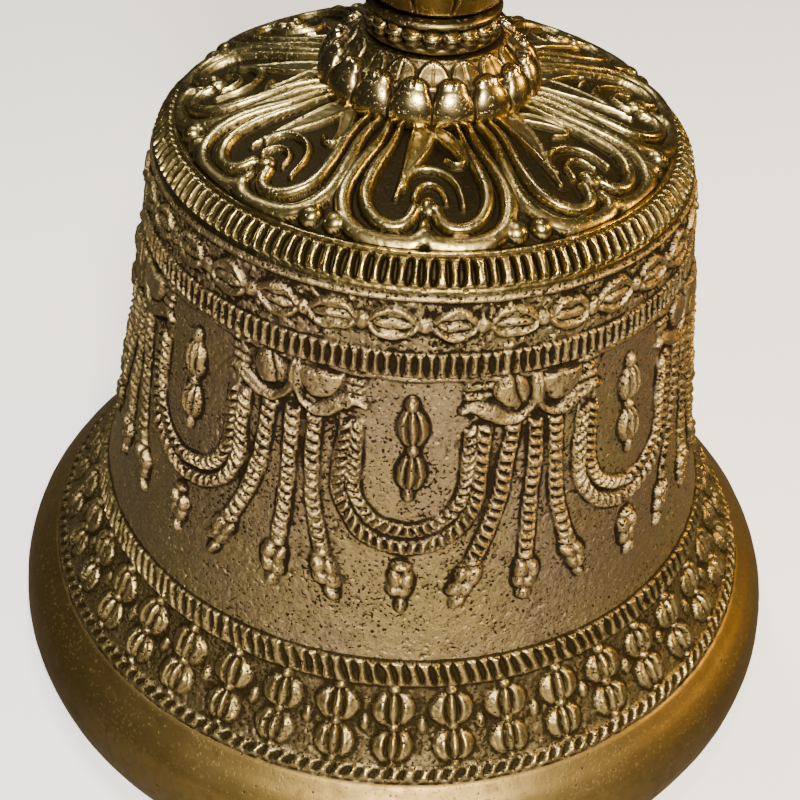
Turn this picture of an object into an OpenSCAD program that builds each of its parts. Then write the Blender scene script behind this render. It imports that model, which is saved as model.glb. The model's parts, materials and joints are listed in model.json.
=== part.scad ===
// Ritual hand bell with a stacked cast handle, a half-vajra top and a swinging clapper.
// Frame: origin on the mouth plane, on the bell's axis; +Z up through the handle; -Y is the front.

/* [Bell body] */
// Outside diameter of the mouth, at the widest part of the lip
mouth_d = 90; // [88:1:92]
// Height of the crown seat above the mouth plane
body_h = 67.4; // [66:0.2:69]
// Horizontal wall thickness at the waist
wall_t = 2.8; // [2.4:0.1:3.2]

/* [Handle] */
// Diameter of the threaded rod that holds the handle together
rod_d = 5; // [4.6:0.1:5.2]
// Widest radius across the four outer prongs of the half-vajra
prong_reach = 13.5; // [12:0.5:15]
// Number of rounded lotus lobes round the foot
foot_lobes = 16; // [12:2:20]

/* [Clapper] */
// Diameter of the clapper ball
ball_d = 16; // [14:0.5:16]
// Diameter of the link's wire
link_wire_d = 2; // [1.8:0.1:2.2]

/* [Hidden] */
$fn = 96;

// Colours
aged_brass = [0.50, 0.40, 0.22];
warm_brass = [0.62, 0.48, 0.24];
dark_iron = [0.30, 0.28, 0.26];
rod_steel = [0.62, 0.62, 0.60];

// Bell body, worked out from the mouth and the height
mouth_r = mouth_d / 2;
shoulder_r = 0.591 * mouth_r;   // wall radius where the dome begins
dome_z = body_h - 7.1;          // height where the dome begins
dome_h = 7.7;                   // rise of the full dome, before the crown is faced flat
taper = 0.16;                   // straight taper of the waist
flare = 0.204 * mouth_r;        // outward flare of the wall at flare_z
flare_z = 9;
flare_len = 6.7;                // height over which the flare dies away
lip_top = 11;                   // where the plain lip meets the flared wall
inner_drop = 4;                 // how much lower the inner wall's flare lies
inner_lip_r = mouth_r - 3.2;
inner_dome_z = dome_z - 2;
inner_dome_h = 6.3;
crown_seat_r = 10.6;            // faced seat under the handle's foot
washer_seat_z = body_h - 3.2;   // faced seat under the washer, inside the crown
washer_r = 7;
washer_t = 1;

// Rod and fits
rod_r = rod_d / 2;
fit_gap = 0.05;                 // radial clearance of every bore on the rod
bore_r = rod_r + fit_gap;
rod_low = washer_seat_z - washer_t - 5.7;

// Heights of the handle's sections, from the crown upwards
foot_z = body_h;
foot_h = 5.2;
collar_h = 3.4;
vase_z = foot_z + foot_h + collar_h;
vase_h = 15;
barrel_z = vase_z + vase_h + collar_h;
barrel_h = 14;
cup_z = barrel_z + barrel_h + collar_h;
cup_h = 8;
hub_z = cup_z + cup_h;
hub_h = 6.8;
vajra_z = hub_z + hub_h;
vajra_h = 43;
prong_h = 31.5;
rod_top = hub_z + 5.1;

// Clapper
ball_r = ball_d / 2;
wire_r = link_wire_d / 2;
bar_r = 1.3;                    // the staple's bar, on which the link hangs
leg_x = 3.9;                    // the staple's legs, either side of the link
boss_r = 5.8;                   // across the corners of the yoke's hexagon
boss_h = 6.7;
boss_z = washer_seat_z - washer_t - boss_h;
bar_z = boss_z - 4.5;           // axis on which the link swings
link_gap = 0.2;
link_arc = bar_r + link_gap + wire_r;   // radius of the link's centre line
eye_z = bar_z - 7.5;            // axis on which the clapper swings
eye_bore_r = wire_r + link_gap;
eye_r = 3.2;
eye_t = 2.4;
stem_r = 1.5;
ball_z = 14;
ball_bore_r = 1.85;
ball_low = ball_z - sqrt(ball_r * ball_r - ball_bore_r * ball_bore_r);   // edge of the ball's bore
rivet_h = 2.6;
rivet_z = ball_low - rivet_h;
rivet_wall = 0.6;

// Catmull-Rom curve through the points p, with n steps for each stretch
function spline(p, n = 6) = [
    for (i = [0 : len(p) - 2], k = [0 : n - 1])
        let (a = p[max(i - 1, 0)], b = p[i], c = p[i + 1], d = p[min(i + 2, len(p) - 1)], t = k / n)
            0.5 * (2 * b + (c - a) * t + (2 * a - 5 * b + 4 * c - d) * t * t
                   + (3 * b - a - 3 * c + d) * t * t * t),
    p[len(p) - 1]
];

// Outer and inner wall radius at a height: a straight taper and a flare that dies away upwards
function outer_r(z) = shoulder_r + taper * (dome_z - z) + flare * exp(-(z - flare_z) / flare_len);
function inner_r(z) = shoulder_r - wall_t + taper * (dome_z - z)
                      + flare * exp(-(z - flare_z + inner_drop) / flare_len);

function outer_wall() = [for (z = [lip_top : 3 : dome_z - 1]) [outer_r(z), z]];
function inner_wall() = [for (z = [5.2 : 3 : inner_dome_z - 1]) [inner_r(z), z]];

// Quarter ellipse from the wall in to radius r_end
function dome(r, h, z, r_end, n = 14) =
    let (a_end = acos(r_end / r))
        [for (k = [0 : n]) let (a = a_end * k / n) [r * cos(a), z + h * sin(a)]];

function reversed(p) = [for (i = [len(p) - 1 : -1 : 0]) p[i]];

module bell_shell() {
    lip = concat([[inner_lip_r + 0.6, 0]],
                 spline([[mouth_r - 1.2, 0], [mouth_r - 0.4, 1.2], [mouth_r, 4.4],
                         [mouth_r - 1.0, 8.2], [outer_r(lip_top), lip_top]], 5));
    outside = concat(lip, outer_wall(), dome(outer_r(dome_z), dome_h, dome_z, crown_seat_r));
    inside = concat([[inner_lip_r, 0.8], [inner_lip_r, 3.6]], inner_wall(),
                    dome(inner_r(inner_dome_z), inner_dome_h, inner_dome_z, washer_r));
    color(aged_brass)
        rotate_extrude()
            polygon(concat(outside,
                           [[crown_seat_r, body_h], [bore_r, body_h],
                            [bore_r, washer_seat_z], [washer_r, washer_seat_z]],
                           reversed(inside)));
}

// Ring of balls of radius r on a circle of radius ring_r
module bead_ring(count, ring_r, r) {
    for (i = [0 : count - 1])
        rotate(360 * i / count)
            translate([ring_r, 0, 0])
                sphere(r, $fn = 24);
}

// A section of the handle: a turned outline of [radius, height] points, bored for the rod
module turned(outline, z, h) {
    translate([0, 0, z])
        rotate_extrude()
            polygon(concat([[bore_r, 0]], outline, [[bore_r, h]]));
}

module handle_foot() {
    lobe_r = 1.9;
    color(warm_brass) {
        difference() {
            union() {
                turned(spline([[9.2, 0], [9.4, 2.0], [8.2, 3.6], [6.8, foot_h]]), foot_z, foot_h);
                translate([0, 0, foot_z + lobe_r])
                    bead_ring(foot_lobes, crown_seat_r - lobe_r - 0.3, lobe_r);
            }
            translate([0, 0, foot_z - 4])
                cylinder(r = crown_seat_r + 4, h = 4);
        }
    }
}

module collar(z) {
    bead_r = 0.95;
    color(warm_brass) {
        turned(spline([[5.8, 0], [6.4, 0.7], [5.9, collar_h / 2], [6.4, collar_h - 0.7], [5.8, collar_h]]),
               z, collar_h);
        translate([0, 0, z + collar_h / 2])
            bead_ring(20, 6.1, bead_r);
    }
}

module handle_vase() {
    color(warm_brass)
        turned(spline([[5.4, 0], [6.2, 1.2], [8.6, 5.0], [8.9, 7.6], [7.2, 11.2], [5.2, 13.2], [5.6, vase_h]]),
               vase_z, vase_h);
}

module handle_barrel() {
    color(warm_brass)
        turned(spline([[5.4, 0], [6.0, 1.0], [7.0, 4.5], [7.2, barrel_h / 2], [7.0, barrel_h - 4.5],
                       [6.0, barrel_h - 1.0], [5.4, barrel_h]]),
               barrel_z, barrel_h);
}

module lotus_cup() {
    color(warm_brass)
        turned(spline([[5.2, 0], [5.6, 0.8], [8.4, 3.2], [10.2, 5.6], [10.4, 7.0], [9.4, cup_h]]),
               cup_z, cup_h);
}

module vajra_hub() {
    color(warm_brass)
        translate([0, 0, hub_z])
            difference() {
                rotate_extrude()
                    polygon(concat([[0, 0]],
                                   spline([[8.2, 0], [9.0, 0.8], [9.0, 1.6], [8.2, 2.4]], 4),
                                   spline([[7.6, 2.6], [8.6, 4.4], [8.4, hub_h]], 5),
                                   [[0, hub_h]]));
                translate([0, 0, -1])
                    cylinder(r = bore_r, h = rod_top - hub_z + 1.1);
            }
}

// Rings of points round a path: centre line p, radius r for each point, in the XZ plane
function sweep_rings(p, r, sides) = [
    for (i = [0 : len(p) - 1])
        let (a = p[max(i - 1, 0)], b = p[min(i + 1, len(p) - 1)], d = (b - a) / norm(b - a))
            for (k = [0 : sides - 1])
                let (u = r[i] * cos(360 * k / sides), v = r[i] * sin(360 * k / sides))
                    i == 0 ? [p[0][0] + u, v, p[0][1]]
                           : [p[i][0] + u * d[1], v, p[i][1] - u * d[0]]
];

module swept_horn(p, r, sides) {
    rings = len(p);
    faces = concat(
        [[for (k = [0 : sides - 1]) k]],
        [for (i = [0 : rings - 2], k = [0 : sides - 1])
            let (a = i * sides + k, b = i * sides + (k + 1) % sides)
                [a, a + sides, b + sides, b]],
        [[for (k = [sides - 1 : -1 : 0]) (rings - 1) * sides + k]]);
    polyhedron(sweep_rings(p, r, sides), faces, convexity = 4);
}

// One outer prong: springs from the hub, bows outwards and comes back in to the core
module vajra_prong(i) {
    horn_r = 1.9;
    path = spline([[6.1, 0], [6.35, 2.2], [8.3, 5.0], [prong_reach - horn_r - 0.7, 8.6],
                   [prong_reach - horn_r, 12.8], [9.9, 19.0], [6.0, 25.5], [3.3, prong_h]], 4);
    last = len(path) - 1;
    radius = [for (k = [0 : last]) horn_r * (1 - 0.52 * pow(k / last, 2.2))];
    color(warm_brass)
        translate([0, 0, vajra_z])
            rotate(45 + 90 * (i - 1))
                swept_horn(path, radius, 14);
}

module vajra_core() {
    color(warm_brass)
        translate([0, 0, vajra_z])
            rotate_extrude()
                polygon(concat([[0, 0]],
                               spline([[3.2, 0], [3.3, 1.0], [2.0, 3.0], [2.6, 9.0], [2.9, 14.0], [2.2, 22.0],
                                       [1.7, prong_h - 3], [1.7, prong_h], [3.0, prong_h + 3.0],
                                       [2.6, prong_h + 5.5], [1.0, prong_h + 9.0], [0.35, vajra_h]], 5),
                               [[0, vajra_h]]));
}

module tang_rod() {
    color(rod_steel)
        translate([0, 0, rod_low])
            cylinder(r = rod_r, h = rod_top - rod_low);
}

module crown_washer() {
    color(warm_brass)
        translate([0, 0, washer_seat_z - washer_t])
            difference() {
                cylinder(r = washer_r - 0.3, h = washer_t);
                translate([0, 0, -1])
                    cylinder(r = bore_r, h = washer_t + 2);
            }
}

// Yoke that screws on the rod's end: a boss, two legs and the bar that the link hangs on
module clapper_staple() {
    color(dark_iron) {
        translate([0, 0, boss_z])
            difference() {
                cylinder(r = boss_r, h = boss_h, $fn = 6);
                translate([0, 0, rod_low - boss_z - 0.1])
                    cylinder(r = bore_r, h = boss_h);
            }
        for (side = [-1, 1]) {
            translate([side * leg_x, 0, bar_z])
                cylinder(r = bar_r, h = boss_z - bar_z + 1);
            translate([side * leg_x, 0, bar_z])
                sphere(bar_r);
        }
        translate([-leg_x, 0, bar_z])
            rotate([0, 90, 0])
                cylinder(r = bar_r, h = 2 * leg_x);
    }
}

// Closed link in the YZ plane: a round top over the staple's bar, a straight bar below for the clapper
module clapper_link() {
    color(dark_iron)
        translate([0, 0, bar_z])
            rotate([90, 0, 90]) {
                rotate_extrude(angle = 180)
                    translate([link_arc, 0])
                        circle(wire_r, $fn = 32);
                for (side = [-1, 1]) {
                    translate([side * link_arc, 0, 0])
                        rotate([90, 0, 0])
                            cylinder(r = wire_r, h = bar_z - eye_z);
                    translate([side * link_arc, eye_z - bar_z, 0])
                        sphere(wire_r);
                }
                translate([-link_arc, eye_z - bar_z, 0])
                    rotate([0, 90, 0])
                        cylinder(r = wire_r, h = 2 * link_arc);
            }
}

module clapper_stem() {
    neck_z = eye_z - eye_r;
    color(dark_iron)
        difference() {
            union() {
                translate([0, eye_t / 2, eye_z])
                    rotate([90, 0, 0])
                        cylinder(r = eye_r, h = eye_t);
                rotate_extrude()
                    polygon([[0, neck_z + 1.2], [1.15, neck_z + 1.2], [stem_r, neck_z - 2],
                             [1.8, ball_z + ball_r], [1.8, rivet_z + rivet_wall], [0, rivet_z + rivet_wall]]);
            }
            translate([0, eye_t, eye_z])
                rotate([90, 0, 0])
                    cylinder(r = eye_bore_r, h = 2 * eye_t);
        }
}

module clapper_ball() {
    color(dark_iron)
        translate([0, 0, ball_z])
            difference() {
                sphere(ball_r);
                cylinder(r = ball_bore_r, h = 2 * ball_r + 2, center = true);
            }
}

// Riveted end under the ball
module clapper_rivet() {
    color(dark_iron)
        translate([0, 0, rivet_z])
            difference() {
                rotate_extrude()
                    polygon(concat([[0, 0]],
                                   spline([[1.2, 0], [2.6, 0.7], [2.9, 1.6], [2.5, rivet_h]], 4),
                                   [[0, rivet_h]]));
                translate([0, 0, rivet_wall])
                    cylinder(r = ball_bore_r, h = rivet_h);
            }
}

bell_shell();
handle_foot();
collar(foot_z + foot_h);  // lower_collar
handle_vase();
collar(vase_z + vase_h);  // middle_collar
handle_barrel();
collar(barrel_z + barrel_h);  // upper_collar
lotus_cup();
vajra_hub();
vajra_prong(1);  // vajra_prong_1
vajra_prong(2);  // vajra_prong_2
vajra_prong(3);  // vajra_prong_3
vajra_prong(4);  // vajra_prong_4
vajra_core();
tang_rod();
crown_washer();
clapper_staple();
clapper_link();
clapper_stem();
clapper_ball();
clapper_rivet();
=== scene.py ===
import bpy
import json
import math
import numpy as np
from mathutils import Matrix, Vector

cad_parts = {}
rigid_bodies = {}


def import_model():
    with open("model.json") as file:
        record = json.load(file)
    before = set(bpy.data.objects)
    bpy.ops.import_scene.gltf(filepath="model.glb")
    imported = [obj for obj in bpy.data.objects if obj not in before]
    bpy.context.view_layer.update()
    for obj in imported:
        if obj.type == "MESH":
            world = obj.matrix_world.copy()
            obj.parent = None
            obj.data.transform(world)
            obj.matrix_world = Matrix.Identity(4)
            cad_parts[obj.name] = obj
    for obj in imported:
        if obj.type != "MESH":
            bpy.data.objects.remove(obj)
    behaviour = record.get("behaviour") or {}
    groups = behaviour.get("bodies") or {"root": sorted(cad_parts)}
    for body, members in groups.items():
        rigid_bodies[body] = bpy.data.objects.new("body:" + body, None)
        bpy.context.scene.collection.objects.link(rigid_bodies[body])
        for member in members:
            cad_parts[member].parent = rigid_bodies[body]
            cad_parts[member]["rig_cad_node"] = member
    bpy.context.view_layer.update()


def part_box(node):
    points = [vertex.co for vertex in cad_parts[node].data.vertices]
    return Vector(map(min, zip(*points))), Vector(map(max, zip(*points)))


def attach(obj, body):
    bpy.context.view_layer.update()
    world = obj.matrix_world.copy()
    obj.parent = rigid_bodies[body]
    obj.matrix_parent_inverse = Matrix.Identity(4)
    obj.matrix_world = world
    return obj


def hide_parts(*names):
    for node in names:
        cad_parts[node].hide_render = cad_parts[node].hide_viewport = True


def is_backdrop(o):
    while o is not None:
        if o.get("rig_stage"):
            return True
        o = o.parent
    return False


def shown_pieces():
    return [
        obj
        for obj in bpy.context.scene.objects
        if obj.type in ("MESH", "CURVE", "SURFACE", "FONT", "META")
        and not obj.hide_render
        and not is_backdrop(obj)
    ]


# Cast brass ritual bell. Shapes are worked out in millimetres and degrees, and go into the meshes in metres.
# An angle is 0 at the front (-Y) and grows to the right (+X).

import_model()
shellLow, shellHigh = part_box("bell_shell")
mm = 0.001

bell = {
    "mouthRadius": (shellHigh.x - shellLow.x) / 2 / mm,
    "height": shellHigh.z / mm,
    "wall": 2.8,
    "innerDrop": 4,         # how much lower the inside starts to flare
    "taper": 0.16,          # straight taper of the waist
    "flareZ": 9.0,
    "flareLength": 6.7,     # height over which the flare dies away
    "domeRise": 7.7,
    "footRadius": 9.0,      # the cast pattern starts here, under the handle's foot
    "seatRadius": 10.6,     # flat seat under the handle's foot
    "lipTop": 11.4,
    "panels": 8,
    "patternTurn": 1.5,     # degrees by which the panels are turned from the front
}
shoulderRadius = 0.591 * bell["mouthRadius"]
flare = 0.204 * bell["mouthRadius"]
domeZ = bell["height"] - 7.1
panelPitch = 360 / bell["panels"]
degreeMm = 0.52             # width of one degree at the waist
boreRadius = 2.55


def smooth(low, high, x):
    # 0 up to low, 1 from high on, and between them the S-shaped 3t squared - 2t cubed
    t = np.clip((x - low) / (high - low), 0, 1)
    return t * t * (3 - 2 * t)


def wrapped(angle, period, centre=0.0):
    # angle from the nearest of the marks that repeat every period
    return (angle - centre + period / 2) % period - period / 2


def halfRound(d, w):
    # section of a half-round bead of half-width w, at distance d from its middle
    return np.sqrt(np.maximum(0, 1 - (d / w) ** 2))


def plate(d, w, edge=0.25):
    # section of a flat plate of half-width w with a slightly raised rim
    return smooth(w, w - edge, d) * (0.80 + 0.20 * np.exp(-((d - w + edge * 1.2) / 0.16) ** 2))


def boss(dx, dy, rx, ry):
    # half ellipsoid of height 1
    return np.sqrt(np.maximum(0, 1 - (dx / rx) ** 2 - (dy / ry) ** 2))


def scatter(ix, iy, iz, seed):
    # repeatable number from 0 to 1 for each whole-number place
    n = (ix * 374761393 + iy * 668265263 + iz * 1274126177 + seed * 974634777) & 0xFFFFFFFF
    n = ((n ^ (n >> 13)) * 1103515245) & 0xFFFFFFFF
    n = n ^ (n >> 16)
    return n / 4294967296.0


def lumps(p, size, seed):
    # smooth random field from -1 to 1 over points p, with lumps about size mm apart
    q = p / size
    c = np.floor(q).astype(np.int64)
    f = q - c
    f = f * f * (3 - 2 * f)
    total = 0
    for i in (0, 1):
        wx = f[..., 0] if i else 1 - f[..., 0]
        for j in (0, 1):
            wy = f[..., 1] if j else 1 - f[..., 1]
            for k in (0, 1):
                wz = f[..., 2] if k else 1 - f[..., 2]
                total = total + wx * wy * wz * scatter(c[..., 0] + i, c[..., 1] + j, c[..., 2] + k, seed)
    return total * 2 - 1


def curve(points, n=6):
    # Catmull-Rom curve through the points, n steps for each stretch
    p = np.array(points, float)
    ends = np.concatenate([[p[0]], p, [p[-1]]])
    t = (np.arange(n) / n)[:, None]
    parts = []
    for a, b, c, d in zip(ends[:-3], ends[1:-2], ends[2:-1], ends[3:]):
        square, cube = 2 * a - 5 * b + 4 * c - d, 3 * b - a - 3 * c + d
        parts.append(0.5 * (2 * b + (c - a) * t + square * t ** 2 + cube * t ** 3))
    return np.concatenate(parts + [p[-1:]])


def alongLine(x, y, line):
    # distance from a broken line, signed distance to its side, and running length at the nearest point
    best = np.full(x.shape, 1e9)
    side = np.zeros(x.shape)
    run = np.zeros(x.shape)
    start = 0.0
    for (x0, y0), (x1, y1) in zip(line[:-1], line[1:]):
        dx, dy = x1 - x0, y1 - y0
        length = math.hypot(dx, dy)
        t = np.clip(((x - x0) * dx + (y - y0) * dy) / length ** 2, 0, 1)
        ex, ey = x - x0 - t * dx, y - y0 - t * dy
        d2 = ex * ex + ey * ey
        near = d2 < best
        best = np.where(near, d2, best)
        side = np.where(near, (ex * dy - ey * dx) / length, side)
        run = np.where(near, start + t * length, run)
        start += length
    return np.sqrt(best), side, run


def softened(field, rowSigma, colSigma, closed):
    # Gaussian blur of a grid: rows are padded by reflection, columns too unless the grid closes on itself
    def blur(a, sigma, wrap):
        # each frequency f is weakened by exp(-2 (pi sigma f) squared)
        n = a.shape[0]
        pad = 0 if wrap else min(n - 1, int(sigma * 4) + 2)
        b = a if wrap else np.concatenate([a[pad:0:-1], a, a[-2:-pad - 2:-1]])
        f = np.fft.rfftfreq(b.shape[0])
        weaker = np.exp(-2 * (math.pi * sigma * f) ** 2)[:, None]
        return np.fft.irfft(np.fft.rfft(b, axis=0) * weaker, b.shape[0], axis=0)[pad:pad + n]
    return blur(blur(field, rowSigma, False).T, colSigma, closed).T


def meshFrom(name, verts, quads, fans=(), normals=None, attributes=None):
    # quads is an (n, 4) array of vertex numbers, fans is a list of faces with other numbers of corners
    mesh = bpy.data.meshes.new(name)
    mesh.vertices.add(len(verts))
    mesh.vertices.foreach_set("co", (verts * mm).astype(np.float32).ravel())
    loops = np.concatenate([quads.ravel()] + [np.asarray(f) for f in fans]).astype(np.int32)
    sizes = np.concatenate([np.full(len(quads), 4)] + [[len(f)] for f in fans]).astype(np.int32)
    mesh.loops.add(len(loops))
    mesh.loops.foreach_set("vertex_index", loops)
    mesh.polygons.add(len(sizes))
    mesh.polygons.foreach_set("loop_start", np.concatenate([[0], np.cumsum(sizes)[:-1]]).astype(np.int32))
    mesh.update(calc_edges=True)
    mesh.validate()
    mesh.shade_smooth()
    for key, values in (attributes or {}).items():
        layer = mesh.attributes.new(key, "FLOAT", "POINT")
        layer.data.foreach_set("value", np.asarray(values, np.float32).ravel())
    if normals is not None:
        mesh.normals_split_custom_set_from_vertices(normals.reshape(-1, 3).tolist())
    piece = bpy.data.objects.new(name, mesh)
    bpy.context.scene.collection.objects.link(piece)
    return piece


def gridQuads(rows, cols, closeRows, closeCols):
    # vertex i, j of a grid is number i * cols + j; each face joins i, j to i + 1, j + 1
    i = np.arange(rows if closeRows else rows - 1)[:, None]
    j = np.arange(cols if closeCols else cols - 1)[None, :]
    a = i * cols + j
    b = ((i + 1) % rows) * cols + j
    c = ((i + 1) % rows) * cols + (j + 1) % cols
    d = i * cols + (j + 1) % cols
    return np.stack([a, b, c, d], -1).reshape(-1, 4)


def gridNormals(p, closeCols):
    # cross product of the steps along the two ways of the grid, made of length 1
    across = np.roll(p, -1, 1) - np.roll(p, 1, 1) if closeCols else np.gradient(p, axis=1)
    n = np.cross(np.gradient(p, axis=0), across)
    return n / np.maximum(np.linalg.norm(n, axis=-1, keepdims=True), 1e-9)


def around(rho, z, theta):
    # points at radius rho and height z, turned by theta degrees
    t = np.radians(theta)
    return np.stack([rho * np.sin(t), -rho * np.cos(t), z + 0 * t], -1)


def fullTurn(cols):
    # angles of a whole turn in degrees, without the last one, which is the first again
    return np.arange(cols) * 360.0 / cols


# The wall: a straight taper, and a flare that dies away upwards as a falling exponential.

def flared(radius, z, lift):
    # radius + straight taper + falling exponential, which starts lift mm lower down
    spread = flare * np.exp(-(z - bell["flareZ"] + lift) / bell["flareLength"])
    return radius + bell["taper"] * (domeZ - z) + spread


def outerR(z):
    # radius of the wall's outside at height z
    return flared(shoulderRadius, z, 0)


def innerR(z):
    # radius of the wall's inside: thinner by the wall, and its flare starts lower down
    return flared(shoulderRadius - bell["wall"], z, bell["innerDrop"])


def wallProfile():
    # outside of the wall as (radius, height) from the crown's seat down to the lip, with its running length
    # flat seat, then a quarter ellipse for the dome, then the flared wall
    shoulder = outerR(domeZ)
    a = np.radians(np.linspace(math.degrees(math.acos(bell["seatRadius"] / shoulder)), 0, 400))
    dome = np.stack([shoulder * np.cos(a), domeZ + bell["domeRise"] * np.sin(a)], -1)
    seatR = np.linspace(bell["footRadius"], bell["seatRadius"], 20)[:-1]
    seat = np.stack([seatR, np.full(len(seatR), dome[0, 1])], -1)
    z = np.linspace(domeZ, bell["lipTop"], 900)[1:]
    both = np.concatenate([seat, dome, np.stack([outerR(z), z], -1)])
    run = np.concatenate([[0], np.cumsum(np.hypot(*np.diff(both, axis=0).T))])
    return both, run, len(seat) + len(dome)


wall, wallRun, domePoints = wallProfile()


def runAtZ(z):
    # running length at a height; the height falls all the way
    return float(np.interp(-z, -wall[:, 1], wallRun))


def runAtRho(rho):
    # only on the dome, where the radius grows all the way
    return float(np.interp(rho, wall[:domePoints, 0], wallRun[:domePoints]))


def wallAt(run):
    # radius, height and outward normal of the wall at a running length; the normal is square to the
    # line between the points a little before and after
    rho, z = np.interp(run, wallRun, wall[:, 0]), np.interp(run, wallRun, wall[:, 1])
    before, after = run - casting["step"], run + casting["step"]
    dr = np.interp(after, wallRun, wall[:, 0]) - np.interp(before, wallRun, wall[:, 0])
    dz = np.interp(after, wallRun, wall[:, 1]) - np.interp(before, wallRun, wall[:, 1])
    length = np.hypot(dr, dz)
    return rho, z, -dz / length, dr / length


# The cast pattern. Each relief function gives a height in mm over the wall, and a stain from 0 to 1
# for ground that never gets rubbed clean.

casting = {
    "step": 0.4,            # mm either way for the wall's normal
    "grainHeight": 0.085,
    "pitDepth": 0.16,
    "soften": 0.055,        # blur of the pattern, as sand and wax give it
    "backOff": 1.3,         # how far the back of a band lies inside the metal
}


def slottedBand(theta, across, count, half, width, seed):
    # strip cut by lens-shaped slots: 1 on a rib, 0 in a slot, each slot a little different
    pitch = 360 / count
    which = np.floor(theta / pitch).astype(np.int64) % count
    a, b, c = (scatter(which, which * 0 + seed, which * 0 + k, 7) for k in (1, 2, 3))
    u = wrapped(theta, pitch, pitch / 2) / pitch + (b - 0.5) * 0.14 + (c - 0.5) * 0.16 * across / half
    tall = half * (0.84 + 0.14 * a)
    reach = width / 2 * (0.75 + 0.5 * c) * np.maximum(0, 1 - np.abs(across / tall) ** 2.6) ** 0.7
    return smooth(-0.03, 0.13, np.abs(u) - reach)


def ribbedBulb(dx, dy, w, h, cut):
    # almond bulb of three ribs that meet at its ends
    reach = w * np.sqrt(np.maximum(0.02, 1 - (dy / h) ** 2))
    groove = np.exp(-((np.abs(dx) - reach * 0.36) / cut) ** 2)
    return boss(dx, dy, w, h) ** 0.7 * (1 - 0.95 * groove)


def uprightVajra(dx, dy, scale, cut=0.17):
    # two ribbed bulbs with a knot between them and a bead at each end
    dx, dy = dx / scale, dy / scale
    return np.maximum.reduce([
        ribbedBulb(dx, dy - 2.45, 1.48, 2.0, cut), ribbedBulb(dx, dy + 2.35, 1.42, 1.95, cut),
        0.75 * boss(dx, dy - 0.05, 0.62, 0.55), 0.80 * boss(dx + 0.05, dy - 5.0, 0.66, 0.80),
        0.65 * boss(dx, dy + 4.85, 0.46, 0.85), 0.35 * boss(dx, dy, 0.35, 5.3)])


def ladderCord(x, y, line, half, pitch, lay, seed, p):
    # half-round cord with rails at its sides and slanting rungs between dark gaps
    d, side, run = alongLine(x, y, line)
    s = side / half
    phase = run / pitch + lay * s + 0.16 * lumps(p, 1.7, seed)
    gap = smooth(0.42, 0.80, 0.5 + 0.5 * np.cos(2 * math.pi * phase)) * smooth(1.02, 0.62, np.abs(s))
    return halfRound(d, half) ** 0.6 * (1 - 0.86 * gap)


def tassel(dx, dy, lean, p, seed):
    # tied knot, two uneven pairs of lobes and an end drop, leaning sideways by lean for each mm down
    wobble = 0.30 * lumps(p, 1.3, seed)
    s = dx + lean * dy + wobble
    y = dy + 0.25 * lumps(p, 1.1, seed + 1)
    upper = np.maximum(boss(s + 0.52, y - 0.35, 0.66, 0.92), boss(s - 0.60, y - 0.20, 0.62, 0.98))
    lower = np.maximum(boss(s + 0.55, y + 1.05, 0.62, 0.80), boss(s - 0.35, y + 1.15, 0.66, 0.85))
    return np.maximum.reduce([0.85 * boss(s, y - 1.75, 0.80, 0.46), upper ** 0.8, 0.9 * lower ** 0.8,
                              0.80 * boss(s + lean * 0.3, y + 2.75, 0.62, 0.80)])


def loopLine(half, low, bend, top=47.7):
    # straight sides and an oval bottom
    a = np.radians(np.linspace(180, 360, 29))
    bottom = np.stack([half * np.cos(a), low + bend + bend * np.sin(a)], -1)
    return np.concatenate([[[-half * 0.97, top]], bottom, [[half * 1.03, top]]])


waist = {
    "rows": 212, "cols": 361,       # grid of one quarter
    "seam": 5.6,                    # degrees from a panel's middle to the joint between two quarters
    "waver": 0.18,                  # how far the hand-cast pattern wanders from its layout
    "vajraZ": 45.4, "vajraHeight": 1.0,
    "loops": ((loopLine(6.55, 34.9, 6.7), 0.68, 0.98, 0.30), (loopLine(5.25, 36.8, 5.3), 0.62, 0.90, -0.30)),
    "cordHeight": 0.74,
    # each strand of the cluster: its line, and its tassel's place and lean
    "strands": (
        (curve([(-2.2, 47.8), (-2.6, 44), (-3.1, 40.5), (-4.0, 37), (-5.3, 33.7)], 4), (-6.05, 31.4, -0.32)),
        (curve([(0.1, 47.8), (0.15, 42), (-0.05, 37), (-0.25, 33.6)], 4), (-0.3, 31.3, -0.03)),
        (curve([(2.2, 47.8), (2.5, 43), (2.9, 38), (3.9, 33.9)], 4), (4.65, 31.5, 0.30))),
    "strandHalf": 0.74,
    "leafHeight": 0.88,
    "ribbon": curve([(0.35, 49.9), (0.9, 48.9), (2.0, 48.35), (3.3, 48.6), (4.8, 49.4), (6.3, 49.9),
                     (7.2, 49.6)], 5),
}


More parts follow.
